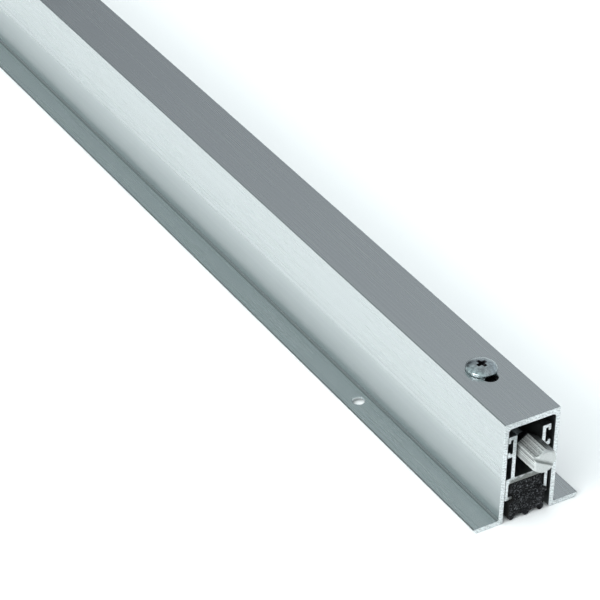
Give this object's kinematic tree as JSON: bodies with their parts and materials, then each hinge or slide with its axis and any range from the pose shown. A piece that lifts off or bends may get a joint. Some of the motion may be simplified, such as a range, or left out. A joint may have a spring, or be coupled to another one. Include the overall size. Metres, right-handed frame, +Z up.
{
  "type": "automatic door bottom",
  "caption": "Flanged aluminium automatic door bottom: a spring-lifted sponge seal that drops out of its case when the plunger at its end is pushed in.",
  "frame": {"origin": "under the middle of the whole part, on the plane of the flanges' underside", "axes": "+X along the case to the plunger end, +Y across the case, +Z up, from the flanges to the roof"},
  "size_m": [0.923, 0.0428, 0.0438],
  "materials": {
    "case_aluminium": "mill finish with fine drawing lines along its length",
    "bar_aluminium": "mill finish, sawn end",
    "zinc_steel": "bright zinc plating, slightly blue",
    "plunger_metal": "drawn hexagon bar with fine lines along its length, turned nose",
    "spring_steel": "dark tempered or blackened steel",
    "block_metal": "dull plated block",
    "nylon": "off-white nylon",
    "neoprene": "black closed-cell sponge with open cells on the cut end"
  },
  "bodies": {
    "case": {"case": "case_aluminium", "guide_block": "block_metal", "guide_bush": "nylon", "guide_screw": "zinc_steel", "anchor_block_front": "block_metal", "anchor_block_rear": "block_metal", "anchor_screw_front": "zinc_steel", "anchor_screw_rear": "zinc_steel", "anchor_rivet_front": "zinc_steel", "anchor_rivet_rear": "zinc_steel"},
    "drop_bar": {"drop_bar": "bar_aluminium", "door_seal": "neoprene", "leaf_spring_front": "spring_steel", "leaf_spring_rear": "spring_steel", "spring_saddle_front": "spring_steel", "spring_saddle_rear": "spring_steel", "saddle_rivet_front": "zinc_steel", "saddle_rivet_rear": "zinc_steel"},
    "push_rod": {"push_rod": "zinc_steel", "lock_nut": "spring_steel", "stop_collar": "zinc_steel", "stop_collar_screw": "spring_steel"},
    "spring_sliders": {"slider_block_front": "block_metal", "slider_block_rear": "block_metal", "slider_screw_front": "spring_steel", "slider_screw_rear": "spring_steel", "slider_rivet_front": "zinc_steel", "slider_rivet_rear": "zinc_steel"},
    "plunger": {"plunger_tip": "plunger_metal"}
  },
  "joints": [
    {"name": "drop_slide", "type": "slide", "parent": "case", "child": "drop_bar", "axis": [0, 0, -1], "range_m": [0, 0.013], "stiffness_N_per_m": 400, "springref_m": -0.02, "deforming": ["leaf_spring_front", "leaf_spring_rear"]},
    {"name": "push_slide", "type": "slide", "parent": "case", "child": "push_rod", "axis": [-1, 0, 0], "range_m": [0, 0.0065]},
    {"name": "slider_slide", "type": "slide", "parent": "drop_bar", "child": "spring_sliders", "axis": [-0.4472, 0, 0.8944], "range_m": [0, 0.01454]},
    {"name": "plunger_turn", "type": "hinge", "parent": "push_rod", "child": "plunger", "pos_m": [0.45, 0, 0.0279], "axis": [1, 0, 0], "continuous": true}
  ],
  "couplings": [
    {"joint": "push_slide", "follows": "drop_slide", "ratio": 0.5},
    {"joint": "slider_slide", "follows": "drop_slide", "ratio": 1.118}
  ]
}
